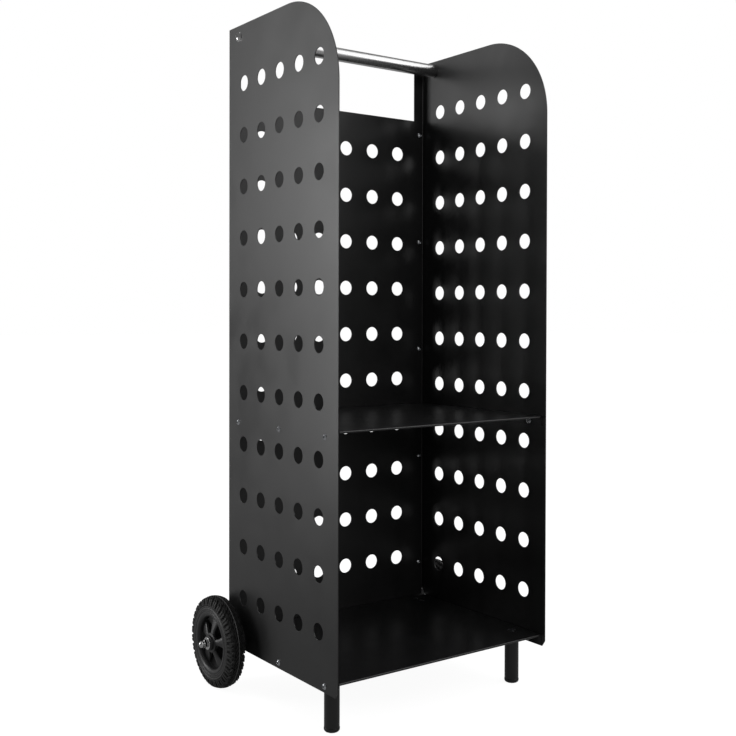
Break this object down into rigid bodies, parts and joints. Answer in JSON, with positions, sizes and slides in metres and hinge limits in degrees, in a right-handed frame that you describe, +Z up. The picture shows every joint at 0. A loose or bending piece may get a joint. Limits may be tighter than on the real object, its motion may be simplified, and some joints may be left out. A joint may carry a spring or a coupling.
{
  "type": "fireside log cart",
  "caption": "Tall perforated sheet-metal cart for firewood: shelves between arched side panels, round push bar, treaded rear wheels and tube feet in front.",
  "frame": {"origin": "middle of the footprint on the floor, under the wheels and feet", "axes": "+Z up, +Y to the rear where the wheels and push bar are, -Y the open front, +X to the cart's right seen from the front"},
  "size_m": [0.5692, 0.421, 1.166],
  "materials": {
    "panel_coat": "satin black powder coat on 1.5 mm sheet steel",
    "shelf_coat": "satin black powder coat on folded sheet steel",
    "tube_coat": "satin black powder coat on tube and plate",
    "handle_steel": "stainless tube, brushed round",
    "bright_steel": "bright nickel or zinc plated, glossy",
    "zinc_steel": "zinc plated steel",
    "tyre_rubber": "moulded black rubber, matt on the tread",
    "rim_plastic": "moulded black plastic, soft gloss",
    "cap_plastic": "moulded black plastic"
  },
  "bodies": {
    "cart": {"left_side_panel": "panel_coat", "right_side_panel": "panel_coat", "back_panel": "panel_coat", "upper_shelf": "shelf_coat", "bottom_shelf": "shelf_coat", "handle_tube": "handle_steel", "handle_inserts": "zinc_steel", "handle_bolts": "bright_steel", "left_foot_tube": "tube_coat", "right_foot_tube": "tube_coat", "left_foot_cap": "cap_plastic", "right_foot_cap": "cap_plastic", "foot_inserts": "zinc_steel", "foot_bolts": "zinc_steel", "left_axle_bracket": "tube_coat", "right_axle_bracket": "tube_coat", "bracket_bolts": "zinc_steel", "bracket_nuts": "zinc_steel", "axle_rod": "zinc_steel", "axle_spacers": "zinc_steel", "inner_washers": "bright_steel", "outer_washers": "bright_steel", "cap_nuts": "bright_steel", "upper_shelf_screws": "zinc_steel", "upper_shelf_nuts": "zinc_steel", "bottom_shelf_screws": "zinc_steel", "bottom_shelf_nuts": "zinc_steel", "back_panel_screws": "zinc_steel", "back_panel_nuts": "zinc_steel"},
    "left_wheel": {"left_tyre": "tyre_rubber", "left_rim": "rim_plastic", "left_hub_bush": "zinc_steel"},
    "right_wheel": {"right_tyre": "tyre_rubber", "right_rim": "rim_plastic", "right_hub_bush": "zinc_steel"}
  },
  "joints": [
    {"name": "left_wheel_spin", "type": "hinge", "parent": "cart", "child": "left_wheel", "pos_m": [-0.248, 0.1305, 0.08], "axis": [1, 0, 0], "continuous": true},
    {"name": "right_wheel_spin", "type": "hinge", "parent": "cart", "child": "right_wheel", "pos_m": [0.248, 0.1305, 0.08], "axis": [1, 0, 0], "continuous": true}
  ]
}
